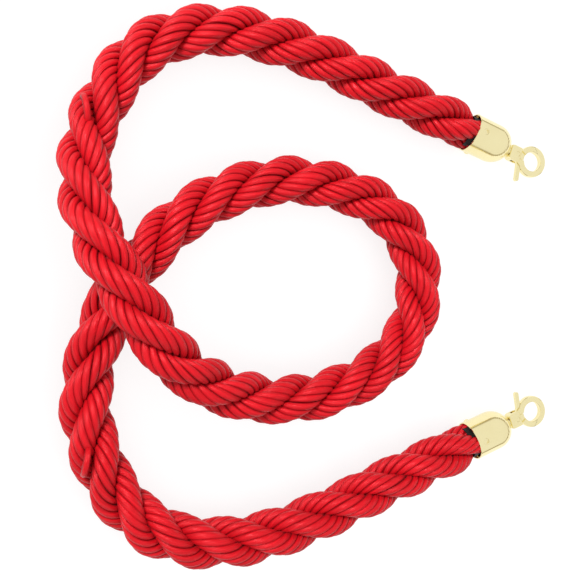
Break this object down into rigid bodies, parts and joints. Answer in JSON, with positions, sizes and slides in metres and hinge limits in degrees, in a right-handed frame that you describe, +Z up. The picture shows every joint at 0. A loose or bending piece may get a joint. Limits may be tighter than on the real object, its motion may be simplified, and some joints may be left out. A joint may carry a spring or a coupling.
{
  "type": "barrier rope",
  "caption": "Thick red twisted satin barrier rope with a gold domed cap and a swivelling trigger hook at each end, laid in a loop.",
  "frame": {"origin": "on the surface it lies on, midway between the two end fittings", "axes": "+Z up; +Y from fitting b to fitting a; +X the way that both hooks point, away from the rope's loop"},
  "size_m": [0.3507, 0.365, 0.0691],
  "materials": {
    "rope_red": "satin twisted cord",
    "gold_plate": "polished pale gold plating",
    "black_whipping": "wound black thread",
    "zinc_steel": "zinc plated",
    "spring_steel": "drawn wire"
  },
  "bodies": {
    "rope_assembly": {"rope": "rope_red", "end_cap_a": "gold_plate", "cap_screws_a": "gold_plate", "rope_binding_a": "black_whipping", "swivel_stud_a": "gold_plate", "stud_washer_a": "zinc_steel", "stud_nut_a": "zinc_steel", "end_cap_b": "gold_plate", "cap_screws_b": "gold_plate", "rope_binding_b": "black_whipping", "swivel_stud_b": "gold_plate", "stud_washer_b": "zinc_steel", "stud_nut_b": "zinc_steel"},
    "hook_a": {"hook_body_a": "gold_plate", "gate_rivet_a": "gold_plate", "gate_spring_a": "spring_steel"},
    "gate_a": {"hook_gate_a": "gold_plate"},
    "hook_b": {"hook_body_b": "gold_plate", "gate_rivet_b": "gold_plate", "gate_spring_b": "spring_steel"},
    "gate_b": {"hook_gate_b": "gold_plate"}
  },
  "joints": [
    {"name": "swivel_a", "type": "hinge", "parent": "rope_assembly", "child": "hook_a", "pos_m": [0.00489, 0.10003, 0.014], "axis": [0.9397, -0.342, 0], "continuous": true},
    {"name": "gate_open_a", "type": "hinge", "parent": "hook_a", "child": "gate_a", "pos_m": [0.0109, 0.09784, 0.014], "axis": [0, 0, -1], "range_deg": [0, 25], "stiffness_Nm_per_rad": 0.08, "springref_deg": -20.05},
    {"name": "swivel_b", "type": "hinge", "parent": "rope_assembly", "child": "hook_b", "pos_m": [0.00489, -0.10003, 0.014], "axis": [0.9397, 0.342, 0], "continuous": true},
    {"name": "gate_open_b", "type": "hinge", "parent": "hook_b", "child": "gate_b", "pos_m": [0.0109, -0.09784, 0.014], "axis": [0, 0, 1], "range_deg": [0, 25], "stiffness_Nm_per_rad": 0.08, "springref_deg": -20.05}
  ]
}
